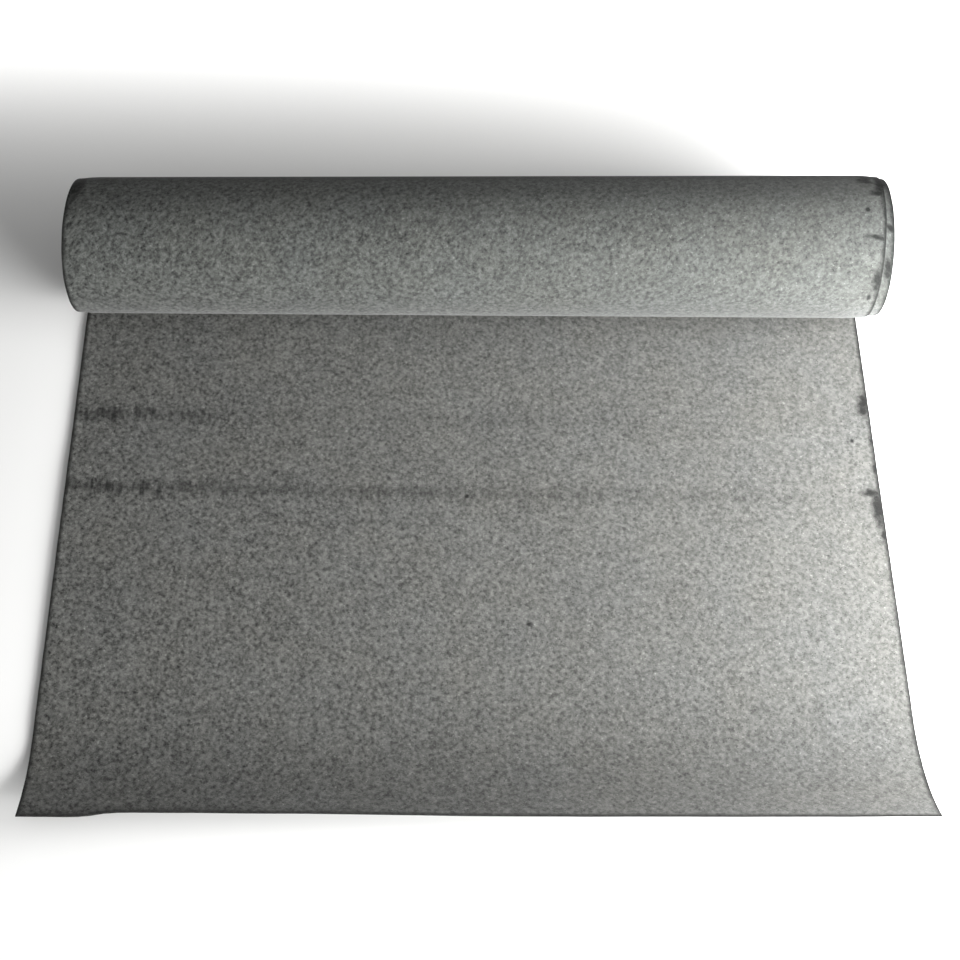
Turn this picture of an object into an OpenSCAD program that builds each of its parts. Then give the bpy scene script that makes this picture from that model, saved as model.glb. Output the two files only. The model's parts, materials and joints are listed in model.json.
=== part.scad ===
// Roll of roofing felt lying on the ground with its first length laid out.
// One strip: turns wound on an open bore, the length that leaves the roll
// at its foot, and a free end that still curls up from the winding.

/* [Strip] */
// width of the strip, which is the length of the roll
strip_width = 1000; // [600:10:1200]
// thickness of the strip
strip_thick = 2.2; // [1.6:0.1:3]

/* [Roll] */
// radius of the open bore
bore_r = 31; // [25:1:50]
// turns still on the roll
turns = 25; // [12:1:32]
// air between one turn and the next
turn_air = 0.1; // [0.02:0.01:0.2]
// width of the V left between the edges of two turns
edge_v_width = 0.8; // [0.4:0.1:1.2]
// depth of the V left between the edges of two turns
edge_v_depth = 1.5; // [0.5:0.1:3]

/* [Laid length] */
// strip off the roll at the left edge, from under its axis to the cut end
laid_left = 718; // [500:1:900]
// strip off the roll at the right edge, from under its axis to the cut end
laid_right = 734; // [500:1:900]
// part of the left edge that curls up
curl_left = 99; // [60:1:180]
// part of the right edge that curls up
curl_right = 149; // [60:1:180]
// radius of the curl, on the face that lies on the ground
curl_r = 192; // [160:1:300]

/* [Hidden] */
$fn = 144;
felt_grey = [0.36, 0.36, 0.35];

turn_pitch = strip_thick + turn_air;
roll_r = bore_r + turns * turn_pitch;
half_width = strip_width / 2;
past = 20; // blocks that get trimmed, and tools, run this far past the strip
// the flat part starts this far in front of the line where the roll touches the
// ground, so it meets the outer turn at a slant and never edge to edge
foot_gap = 5;
// the line where the flat part ends, at both edges
bend_left = laid_left - curl_left;
bend_right = laid_right - curl_right;
bend_mid = (bend_left + bend_right) / 2;
bend_skew = atan((bend_left - bend_right) / strip_width);
flat_run = bend_mid + abs(bend_left - bend_right) + past;
// the curl, turned through this angle at mid width and cut off square to it
curl_mid = (curl_left + curl_right) / 2;
curl_angle = curl_mid / curl_r * 180 / PI;
cut_skew = atan((curl_right - curl_left) / strip_width);
curl_sweep = max(curl_left, curl_right) / curl_r * 180 / PI + 6;
// the origin goes to the middle of the box the whole roll fills
reach_left = bend_left + curl_r * sin(curl_left / curl_r * 180 / PI);
reach_right = bend_right + curl_r * sin(curl_right / curl_r * 180 / PI);
axis_y = (max(reach_left, reach_right) - roll_r) / 2;

// solid of revolution along the roll's axis, from its left end face
module along_roll() {
    translate([-half_width, 0, roll_r])
        rotate([0, 90, 0])
            children();
}

module wound_turns() {
    along_roll()
        cylinder(h = strip_width, r = roll_r);
}

module bore() {
    along_roll()
        translate([0, 0, -past])
            cylinder(h = strip_width + 2 * past, r = bore_r);
}

// V rings that part the edges of the turns at both end faces
module turn_edges() {
    along_roll()
        rotate_extrude()
            for (i = [1:turns - 1]) {
                r = bore_r + i * turn_pitch;
                polygon([[r - edge_v_width / 2, 0], [r, edge_v_depth],
                         [r + edge_v_width / 2, 0]]);
            }
    along_roll()
        rotate_extrude()
            for (i = [1:turns - 1]) {
                r = bore_r + i * turn_pitch;
                polygon([[r - edge_v_width / 2, strip_width],
                         [r, strip_width - edge_v_depth],
                         [r + edge_v_width / 2, strip_width]]);
            }
}

// flat part and curl, made square to the line where the flat part ends, then
// trimmed to the edges of the strip
module laid_strip() {
    intersection() {
        translate([0, -bend_mid, 0])
            rotate([0, 0, bend_skew])
                difference() {
                    union() {
                        translate([-half_width - past, 0, 0])
                            cube([strip_width + 2 * past, flat_run, strip_thick]);
                        curl();
                    }
                    free_end_cut();
                }
        translate([-half_width, -laid_right - laid_left, -past])
            cube([strip_width, laid_right + laid_left - foot_gap, curl_r]);
    }
}

module curl() {
    translate([half_width + past, 0, curl_r])
        rotate([0, 90, 180])
            rotate_extrude(angle = curl_sweep)
                translate([curl_r - strip_thick, 0])
                    square([strip_thick, strip_width + 2 * past]);
}

module free_end_cut() {
    translate([0, 0, curl_r])
        rotate([-curl_angle, 0, 0])
            translate([0, 0, -curl_r])
                rotate([0, 0, -cut_skew])
                    translate([-strip_width, -curl_mid, -past])
                        cube([2 * strip_width, curl_mid, 2 * past]);
}

module felt() {
    color(felt_grey)
        translate([0, axis_y, 0])
            difference() {
                union() {
                    wound_turns();
                    laid_strip();
                }
                bore();
                turn_edges();
            }
}

felt();
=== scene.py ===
import json
import math

import bpy
from mathutils import Matrix, Vector


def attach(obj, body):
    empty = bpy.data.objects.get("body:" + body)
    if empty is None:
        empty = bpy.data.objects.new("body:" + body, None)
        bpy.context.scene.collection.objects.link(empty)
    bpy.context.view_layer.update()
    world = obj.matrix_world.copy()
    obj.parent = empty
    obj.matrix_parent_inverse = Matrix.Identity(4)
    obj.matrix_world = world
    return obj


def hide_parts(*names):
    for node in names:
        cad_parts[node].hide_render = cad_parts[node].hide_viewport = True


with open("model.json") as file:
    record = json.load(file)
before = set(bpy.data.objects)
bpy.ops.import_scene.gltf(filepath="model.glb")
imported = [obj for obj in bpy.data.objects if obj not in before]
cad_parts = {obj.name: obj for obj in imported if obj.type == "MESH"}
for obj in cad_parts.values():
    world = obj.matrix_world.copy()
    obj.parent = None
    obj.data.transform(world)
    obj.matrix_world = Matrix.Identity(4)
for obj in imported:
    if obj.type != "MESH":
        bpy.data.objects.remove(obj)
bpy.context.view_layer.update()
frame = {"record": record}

# ---- Studio: camera, floor and light ----
# A plain pale floor, and a camera that stands over the free end and looks down on
# the roll. The main light is a soft panel low on the right, so the strip darkens
# towards its left edge.
bore = next(m for m in frame["record"]["mounts"] if m["name"] == "bore")
axis_y = bore["pos_m"][1]

camera_data = bpy.data.cameras.new("camera")
camera_data.sensor_width = 36
camera_data.lens = 58.42
camera = bpy.data.objects.new("camera", camera_data)
camera_place = (0.0081, axis_y - 1.1787, 1.6979)
look_down, turn, lean = math.radians(62.294), math.radians(0.198), math.radians(0.122)
camera.matrix_world = (
    Matrix.Translation(camera_place)
    @ Matrix.Rotation(turn, 4, "Z")
    @ Matrix.Rotation(math.pi / 2 - look_down, 4, "X")
    @ Matrix.Rotation(lean, 4, "Z")
)
bpy.context.scene.collection.objects.link(camera)
bpy.context.scene.camera = camera
bpy.context.scene.view_settings.view_transform = "Standard"

# the floor lies a hair under the felt, so that the two never share a plane
floor_half, floor_gap = 40.0, 0.0003
floor_mesh = bpy.data.meshes.new("floor")
corners = [(-1, -1), (1, -1), (1, 1), (-1, 1)]
floor_mesh.from_pydata(
    [(x * floor_half, y * floor_half, -floor_gap) for x, y in corners], [], [(0, 1, 2, 3)]
)
floor = bpy.data.objects.new("floor", floor_mesh)
bpy.context.scene.collection.objects.link(floor)
floor_paint = bpy.data.materials.new("pale_floor")
floor_paint.use_nodes = True
floor_shader = floor_paint.node_tree.nodes["Principled BSDF"]
floor_shader.inputs["Base Color"].default_value = (0.86, 0.86, 0.85, 1)
floor_shader.inputs["Roughness"].default_value = 0.9
floor_mesh.materials.append(floor_paint)


def soft_panel(name, place, aim, width, height, watts):
    """A light that shines from a flat panel at place towards aim."""
    data = bpy.data.lights.new(name, "AREA")
    data.shape = "RECTANGLE"
    data.size, data.size_y, data.energy = width, height, watts
    panel = bpy.data.objects.new(name, data)
    panel.location = place
    panel.rotation_euler = (Vector(aim) - Vector(place)).to_track_quat("-Z", "Y").to_euler()
    panel.visible_camera = False
    bpy.context.scene.collection.objects.link(panel)
    return data


soft_panel("main_light", (1.8, -1.8, 0.9), (0.0, 0.1, 0.0), 1.4, 1.2, 110)
soft_panel("side_light", (1.2, -0.9, 0.4), (0.0, 0.2, 0.0), 0.9, 0.6, 26)
soft_panel("near_light", (0.95, -0.1, 0.3), (0.3, -0.05, 0.0), 0.7, 0.4, 37)
soft_panel("top_light", (1.4, 0.0, 0.9), (0.0, 0.1, 0.0), 1.0, 0.8, 6)
# this one hangs behind the roll and only brightens the floor there
floor_light = soft_panel("floor_light", (-0.2, 1.05, 1.0), (-0.2, 1.05, 0.0), 2.4, 0.25, 9)
floor_light.spread = math.radians(60)

world = bpy.data.worlds.new("studio")
world.use_nodes = True
world.node_tree.nodes["Background"].inputs["Color"].default_value = (1, 1, 1, 1)
world.node_tree.nodes["Background"].inputs["Strength"].default_value = 0.3
bpy.context.scene.world = world

# ---- Felt strip ----
# One strip of felt soaked in bitumen, with fine sand pressed into both faces, 1 m wide
# and 10.1 m long. It is wound into 25 turns on an open bore, leaves the roll at its
# foot, lies flat on the floor, and still curls up at its cut end.
strip_width = 1.0
strip_thick = 0.0021
edge_round = 0.0004
bore_radius = bore["dims"]["r_mm"] / 1000
turns = 25
turn_pitch = 0.0023
pitch_slack = 0.000086  # the right end is wound looser than the left by twice this
laid_length, laid_slant = 0.726, 0.008
bend_place, bend_slant = 0.602, -0.017
curl_radius = 0.192
# how far the laid length, the outer turn and the turns inside it lie to the right
laid_shift, outer_shift, inner_shift = -0.0083, -0.0072, 0.0052
laid_skew = 0.014
edge_droop, wave_height = 0.0022, 0.0012
felt_seed = 7
sand_shade, under_shade, tar_shade = 0.089, 0.063, 0.01
sand_height = 0.0004
# how many grains, patches and rubbed strokes there are to a metre
grain_scale, patch_scale, stroke_scale = 850, 240, 190
# rubbed bands: metres from under the roll's axis, slant, where each fades out across
# the strip, how dark it is
rub_bands = (
    (0.2047, 0.0175, -0.38, -0.27, 0.36),
    (0.2047, 0.0175, 0.0, 0.5, 0.1),
    (0.307, 0.0125, -0.46, -0.3, 0.25),
    (0.307, 0.0125, -0.2, 0.8, 0.3),
)
# tar blots, most of them at the right edge of the laid length and of the outer turns:
# place across and along the strip, half width and half length
tar_blots = (
    (0.495, 0.176, 0.008, 0.018),
    (0.492, 0.186, 0.01, 0.008),
    (0.473, 0.231, 0.003, 0.003),
    (0.498, 0.232, 0.005, 0.007),
    (0.498, 0.268, 0.004, 0.014),
    (0.488, 0.304, 0.013, 0.006),
    (0.495, 0.326, 0.009, 0.028),
    (0.4965, 0.36, 0.004, 0.012),
    (0.065, 0.479, 0.004, 0.003),
    (-0.007, 0.311, 0.003, 0.003),
    (0.48, -0.216, 0.012, 0.028),
    (0.496, -0.232, 0.009, 0.04),
    (0.49, -0.258, 0.011, 0.006),
    (0.477, -0.285, 0.003, 0.003),
    (0.488, -0.318, 0.014, 0.0035),
    (0.496, -0.367, 0.007, 0.018),
    (0.489, -0.393, 0.003, 0.006),
    (-0.493, -0.222, 0.01, 0.034),
    (0.495, -0.745, 0.009, 0.04),
    (0.496, -0.83, 0.009, 0.004),
    (0.494, -0.876, 0.006, 0.016),
)


class Number:
    """A number worked out in a node tree, so that the shape is written as a formula."""

    def __init__(self, tree, source):
        self.tree, self.source = tree, source

    def calc(self, operation, *others):
        return worked_out(self.tree, operation, self, *others)

    def __add__(self, other):
        return self.calc("ADD", other)

    def __sub__(self, other):
        return self.calc("SUBTRACT", other)

    def __mul__(self, other):
        return self.calc("MULTIPLY", other)

    def __truediv__(self, other):
        return self.calc("DIVIDE", other)

    def __radd__(self, other):
        return worked_out(self.tree, "ADD", other, self)

    def __rsub__(self, other):
        return worked_out(self.tree, "SUBTRACT", other, self)

    def __rmul__(self, other):
        return worked_out(self.tree, "MULTIPLY", other, self)

    def cos(self):
        return self.calc("COSINE")

    def sin(self):
        return self.calc("SINE")

    def abs(self):
        return self.calc("ABSOLUTE")

    def above(self, low):
        return self.calc("MAXIMUM", low)

    def below(self, high):
        return self.calc("MINIMUM", high)

    def between(self, low, high):
        return self.above(low).below(high)

    def over(self, limit):
        return self.calc("GREATER_THAN", limit)

    def under(self, limit):
        return self.calc("LESS_THAN", limit)

    def eased(self, start, end):
        """0 before start and 1 after end, with a soft change between."""
        node = self.tree.nodes.new("ShaderNodeMapRange")
        node.interpolation_type = "SMOOTHSTEP"
        self.tree.links.new(self.source, node.inputs["Value"])
        node.inputs["From Min"].default_value = start
        node.inputs["From Max"].default_value = end
        return Number(self.tree, node.outputs["Result"])


def plug(tree, socket, value):
    """Gives a socket a Number or a plain value."""
    if isinstance(value, Number):
        tree.links.new(value.source, socket)
    else:
        socket.default_value = value


def worked_out(tree, operation, *values):
    """One step of maths on Numbers and plain values."""
    node = tree.nodes.new("ShaderNodeMath")
    node.operation = operation
    for socket, value in zip(node.inputs, values):
        plug(tree, socket, value)
    return Number(tree, node.outputs[0])


def at_place(x, y, z):
    """A vector socket that holds three numbers."""
    place = x.tree.nodes.new("ShaderNodeCombineXYZ")
    for socket, value in zip(place.inputs, (x, y, z)):
        plug(x.tree, socket, value)
    return place.outputs[0]


def noise(x, y, scale, detail, seed):
    """Noise from about -1 to 1 over the plane of x and y, scale ripples to a metre.

    A seed ends in .5, where the noise has its full strength.
    """
    node = x.tree.nodes.new("ShaderNodeTexNoise")
    x.tree.links.new(at_place(x, y, seed / scale), node.inputs["Vector"])
    node.inputs["Scale"].default_value = scale
    node.inputs["Detail"].default_value = detail
    return (Number(x.tree, node.outputs[0]) - 0.5) * 2.6


def strip_tree(felt):
    """The node tree that makes the strip, and the sizes that it takes."""
    tree = bpy.data.node_groups.new("wound_strip", "GeometryNodeTree")
    tree.interface.new_socket("Geometry", in_out="OUTPUT", socket_type="NodeSocketGeometry")
    sizes = {
        "Width": strip_width,
        "Thickness": strip_thick,
        "Bore Radius": bore_radius,
        "Turns": turns,
        "Turn Pitch": turn_pitch,
        "Laid Length": laid_length,
        "Bend Place": bend_place,
        "Curl Radius": curl_radius,
        "Seed": felt_seed,
    }
    for name in sizes:
        tree.interface.new_socket(name, in_out="INPUT", socket_type="NodeSocketFloat")
    given = tree.nodes.new("NodeGroupInput")
    size = {name: Number(tree, given.outputs[name]) for name in sizes}
    seed = size["Seed"]

    # the grid that becomes the strip: a row for each place along it, and a column
    # for each place round its section, which is flat above and below with round edges
    inner_steps, outer_steps, laid_rows = 64, 96, 120
    overlap = 1 / 16  # the finer rows reach this much of a turn under the outer turn
    inner_rows = int((turns - 1 - overlap) * inner_steps)
    outer_rows = int((1 + overlap) * outer_steps)
    last_row = inner_rows + outer_rows + laid_rows
    across_count = 60
    edge_columns = 4.5
    crowding = 0.6  # how much closer together the columns stand near the edges
    column_count = 2 * across_count + 3
    grid = tree.nodes.new("GeometryNodeMeshGrid")
    grid.inputs["Vertices X"].default_value = last_row + 3
    grid.inputs["Vertices Y"].default_value = column_count
    index = Number(tree, tree.nodes.new("GeometryNodeInputIndex").outputs[0])
    raw_row = (index / column_count).calc("FLOOR")
    raw_column = index - raw_row * column_count
    row = (raw_row - 1).between(0, last_row)
    filled = raw_row.over(0.5) * raw_row.under(last_row + 1.5)
    column = raw_column.calc("MODULO", column_count - 1)

    # place across the strip; the hidden inner turns keep only the columns beside
    # their edges
    share = ((across_count - (column - across_count).abs()) / (across_count - 1)).between(0, 1)
    kept = edge_columns / (across_count - 1)
    on_left = share.under(0.5)
    snapped = on_left * share.below(kept) + (1 - on_left) * share.above(1 - kept)
    inner = row.under(inner_rows + 0.5)
    share = inner * snapped + (1 - inner) * share
    side = (across_count - column).calc("SIGN") * column.under(2 * across_count + 0.5)
    spread = (1 - crowding) * (1 - 2 * share) + crowding * (share * math.pi).cos()
    across = -1 * spread * (size["Width"] / 2 - side.abs() * edge_round)
    sideways = across / (size["Width"] / 2)

    # place along the strip: an angle back round the roll from its foot, or a share of
    # the laid length
    wound = size["Turns"] * (2 * math.pi)
    back = wound - row.below(inner_rows) * (2 * math.pi / inner_steps)
    back = back - (row - inner_rows).between(0, outer_rows) * (2 * math.pi / outer_steps)
    turn_no = back / (2 * math.pi)
    laid_share = (row - (inner_rows + outer_rows)).above(0) / laid_rows

    # the knife's cut: a jog at the left corner, a dip beside it and a slow wobble
    knife_jog = 0.0045 * (1 - sideways.eased(-0.86, -0.79))
    knife_dip = -0.003 * sideways.eased(-0.9, -0.75) * (1 - sideways.eased(-0.4, 0.1))
    knife_wobble = 0.0007 * noise(across, seed, 14, 3, 1.5)
    length = size["Laid Length"] + sideways * laid_slant + knife_jog + knife_dip + knife_wobble
    along = laid_share * length

    # where the strip starts to curl, and how far round the curl a place is
    bend = size["Bend Place"] + sideways * bend_slant
    flat = along.calc("MINIMUM", bend)
    mid_curl = size["Curl Radius"] - size["Thickness"] / 2
    curl = (along - bend).above(0) / mid_curl

    # the middle of the strip's thickness, and which way its upper face looks; the
    # edges of the turns droop at both ends of the roll, the outer turns most
    pitch = size["Turn Pitch"] + sideways * pitch_slack
    roll_radius = size["Bore Radius"] + size["Turns"] * pitch
    bruise = 0.7 + 0.4 * noise(back.cos(), back.sin(), 1.1, 1, 8.5)
    sag = edge_droop * bruise * sideways.abs().eased(0.955, 1)
    droop = sag * (1 - turn_no / (turns - 1)).above(0)
    radius = roll_radius - size["Thickness"] / 2 - pitch * turn_no - droop * turn_no.eased(0, 0.25)
    y = axis_y + radius * back.sin() - flat - mid_curl * curl.sin()
    z = roll_radius - radius * back.cos() + mid_curl * (1 - curl.cos())
    up_y = curl.sin() - back.sin()
    up_z = back.cos() + curl.cos() - 1
    reach = side * filled * size["Thickness"] / 2

    # slow waves where it lies, edges that don't quite line up where it is wound
    lying = along.eased(0.02, 0.12) * (1 - (along - bend).eased(-0.05, 0.05))
    wave = wave_height * lying * (noise(across * 0.6, along, 5, 1, 4.5) + 0.9).above(0)
    outer_drift = laid_shift * (1 - turn_no.eased(0, 0.3)) + outer_shift * turn_no.eased(0.28, 0.75)
    slow = 0.0026 * noise(turn_no, seed, 0.31, 0, 2.5)
    quick = 0.0008 * noise(turn_no, seed, 2.3, 0, 6.5)
    inner_drift = inner_shift - 0.004 * turn_no.eased(3, 9) + slow * turn_no.eased(2, 6) + quick
    tucked = turn_no.eased(0.98, 1.4)
    drift = (1 - tucked) * outer_drift + tucked * inner_drift
    ragged = 0.0003 * noise(along + back * 0.09, sideways, 60, 2, 3.5) * sideways.abs().eased(0.99, 1)
    x = across + drift + along * laid_skew + ragged

    shaped = tree.nodes.new("GeometryNodeSetPosition")
    tree.links.new(grid.outputs["Mesh"], shaped.inputs["Geometry"])
    place = at_place(x, y + up_y * reach, z + up_z * reach + wave)
    tree.links.new(place, shaped.inputs["Position"])
    shape = shaped.outputs["Geometry"]

    # what the material reads: metres along the strip from under the roll's axis (true
    # for the outer turns, which are the ones that show), metres across it, which face
    # a point is on, and metres from the cut end
    notes = {
        "along": along - back * radius,
        "across": across,
        "side": side,
        "from_end": length - along + back * radius,
    }
    for name, value in notes.items():
        store = tree.nodes.new("GeometryNodeStoreNamedAttribute")
        store.inputs["Name"].default_value = name
        tree.links.new(shape, store.inputs["Geometry"])
        plug(tree, store.inputs["Value"], value)
        shape = store.outputs["Geometry"]

    steps = (
        ("GeometryNodeMergeByDistance", {"Distance": 0.00001}),
        ("GeometryNodeSetShadeSmooth", {}),
        ("GeometryNodeRealizeInstances", {}),
        ("GeometryNodeSetMaterial", {"Material": felt}),
    )
    for kind, settings in steps:
        step = tree.nodes.new(kind)
        for name, value in settings.items():
            step.inputs[name].default_value = value
        tree.links.new(shape, step.inputs[0])
        shape = step.outputs[0]
    done = tree.nodes.new("NodeGroupOutput")
    tree.links.new(shape, done.inputs[0])
    return tree, sizes


def grains(x, y, scale, seed):
    """A random number from 0 to 1 for each grain of sand, and the distance from its middle."""
    node = x.tree.nodes.new("ShaderNodeTexVoronoi")
    x.tree.links.new(at_place(x, y, seed / scale), node.inputs["Vector"])
    node.inputs["Scale"].default_value = scale
    parts = x.tree.nodes.new("ShaderNodeSeparateColor")
    x.tree.links.new(node.outputs["Color"], parts.inputs[0])
    return Number(x.tree, parts.outputs[0]), Number(x.tree, node.outputs["Distance"])


def sanded_felt():
    """Sand on both faces, rubbed in places, with tar at the edges and in blots, and a painted shade
    line along the top of the roll.
    """
    felt = bpy.data.materials.new("sanded_felt")
    felt.use_nodes = True
    tree = felt.node_tree
    shader = tree.nodes["Principled BSDF"]
    notes = []
    for name in ("along", "across", "side", "from_end"):
        note = tree.nodes.new("ShaderNodeAttribute")
        note.attribute_name = name
        notes.append(Number(tree, note.outputs["Fac"]))
    along, across, side, from_end = notes
    face = side * 0.5  # parts the patterns of the two faces

    # sand: pale and dark grains, in patches where they lie closer or further apart
    grain, grain_gap = grains(across, along, grain_scale, face)
    slanted = (across * 0.8 + along * 0.6, along * 0.8 - across * 0.6)
    patches = noise(*slanted, patch_scale, 2, face)
    clouds = noise(across, along, 9, 2, face + 1)
    evenly = 1 - 0.45 * (across + strip_width / 2)
    cover = 1 + evenly * (1.25 * patches + 0.25 * (grain - 0.5)) + 0.05 * clouds
    # painted highlight: the brightest grains are made half again as pale, as painted glints
    painted_glint = 1 + 0.5 * grain.over(0.985)
    bare_speck = 1 - 0.5 * grain.under(0.02)

    # two rubbed bands across the strip, each made of short strokes along it
    strokes = noise(across, along * 0.25, stroke_scale, 1, 5.5)
    drifts = 0.001 * noise(across, along, 6, 1, 4.5)
    rubbed = 0
    for place, slant, fades_from, fades_to, strength in rub_bands:
        aside = (along - place - slant * across + drifts).abs()
        near = 1 - (aside - 0.009 * strokes).eased(0, 0.015)
        rubbed = near * strength * (1 - across.eased(fades_from, fades_to)) + rubbed
    rubbed = (rubbed * (1 + strokes)).between(0, 0.85)

    # tar that shows at the long edges and in dark blots, and a painted shade line along the top of
    # the roll
    ragged = noise(across, along, 140, 2, face + 6)
    torn = 0.6 * ragged - 0.3 * patches
    edge_gap = strip_width / 2 - across.abs()
    tar_and_painted_shade = 0.9 * (1 - (edge_gap - 0.0015 * ragged).eased(0.001, 0.007))
    # painted shade: a dark line about 0.203 m round the roll from under its axis, along its top,
    # which also takes most of the sheen away there
    tar_and_painted_shade = tar_and_painted_shade.above(0.6 * (1 - (along + 0.203 + 0.004 * ragged).abs().eased(0.008, 0.034)))
    for blot_across, blot_along, half_width, half_length in tar_blots:
        apart = tree.nodes.new("ShaderNodeMapping")
        apart.vector_type = "TEXTURE"
        apart.inputs["Location"].default_value = (blot_across, blot_along, 0)
        apart.inputs["Scale"].default_value = (half_width, half_length, 1)
        tree.links.new(at_place(across, along, 0), apart.inputs["Vector"])
        length = tree.nodes.new("ShaderNodeVectorMath")
        length.operation = "LENGTH"
        tree.links.new(apart.outputs[0], length.inputs[0])
        spread = Number(tree, length.outputs["Value"]) + torn
        tar_and_painted_shade = tar_and_painted_shade.above(0.95 * (1 - spread.eased(0.3, 1.4)))
    tar_and_painted_shade = tar_and_painted_shade.above(0.6 * (1 - (from_end - 0.001 * ragged).eased(0.001, 0.004)))
    cut = 1 - side.abs().eased(0.5, 0.95)
    tar_and_painted_shade = tar_and_painted_shade.above(cut * 0.8)

    # painted shade: the free end is darker where it curls away from the light, over its last 0.2 m,
    # and darker again within 16 mm of its cut, most of all beside the left part
    shade = sand_shade + (sand_shade - under_shade) * (side - 1) * 0.5
    painted_end_shade = 0.26 * (1 - from_end.eased(0, 0.2))
    painted_end_shade = painted_end_shade + 0.3 * (1 - from_end.eased(0.002, 0.016)) * (1 - across.eased(-0.5, 0.1))
    shade = shade * (cover * painted_glint * bare_speck * (1 - rubbed) * (1 - painted_end_shade)).above(0.12)
    shade = shade * (1 - tar_and_painted_shade) + tar_and_painted_shade * tar_shade * (0.8 + 0.5 * grain)

    # a faint tint: the upper face is a little warmer than the under face
    warmth = noise(across, along, 14, 2, face + 2)
    colour = tree.nodes.new("ShaderNodeCombineColor")
    tints = (1 + 0.012 * warmth, 1.03 - 0.02 * side, 0.97 - 0.016 * side - 0.02 * warmth)
    for socket, tint in zip(colour.inputs, tints):
        plug(tree, socket, shade * tint)
    tree.links.new(colour.outputs[0], shader.inputs["Base Color"])
    plug(tree, shader.inputs["Roughness"], 0.92 - 0.15 * tar_and_painted_shade)

    # each grain stands up round its middle, some of them higher than others
    bump = tree.nodes.new("ShaderNodeBump")
    bump.inputs["Strength"].default_value = 0.6
    bump.inputs["Distance"].default_value = sand_height
    plug(tree, bump.inputs["Height"], (1 - grain_gap) * (0.5 + grain))
    tree.links.new(bump.outputs[0], shader.inputs["Normal"])
    plug(tree, shader.inputs["Sheen Weight"], 0.12 - 0.11 * tar_and_painted_shade)
    shader.inputs["Sheen Roughness"].default_value = 0.5
    shader.inputs["Specular IOR Level"].default_value = 0.1
    return felt


felt = sanded_felt()
tree, sizes = strip_tree(felt)
maker = bpy.data.objects.new("maker", bpy.data.meshes.new("maker"))
bpy.context.scene.collection.objects.link(maker)
modifier = maker.modifiers.new("wound_strip", "NODES")
modifier.node_group = tree
for socket in tree.interface.items_tree:
    if socket.in_out == "INPUT":
        modifier[socket.identifier] = float(sizes[socket.name])
view_layer = bpy.context.evaluated_depsgraph_get()
strip_mesh = bpy.data.meshes.new_from_object(maker.evaluated_get(view_layer))
bpy.data.objects.remove(maker)
strip_mesh.name = "felt_strip"
strip_mesh.materials.clear()
strip_mesh.materials.append(felt)
strip_mesh.polygons.foreach_set("material_index", [0] * len(strip_mesh.polygons))
strip_mesh.set_sharp_from_angle(angle=math.radians(45))
strip = bpy.data.objects.new("felt_strip", strip_mesh)
bpy.context.scene.collection.objects.link(strip)
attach(strip, "root")
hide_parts("felt")
# the turns at their middle radius, and the laid length
flat_length = laid_length + math.pi * turns * (2 * bore_radius + turns * turn_pitch)
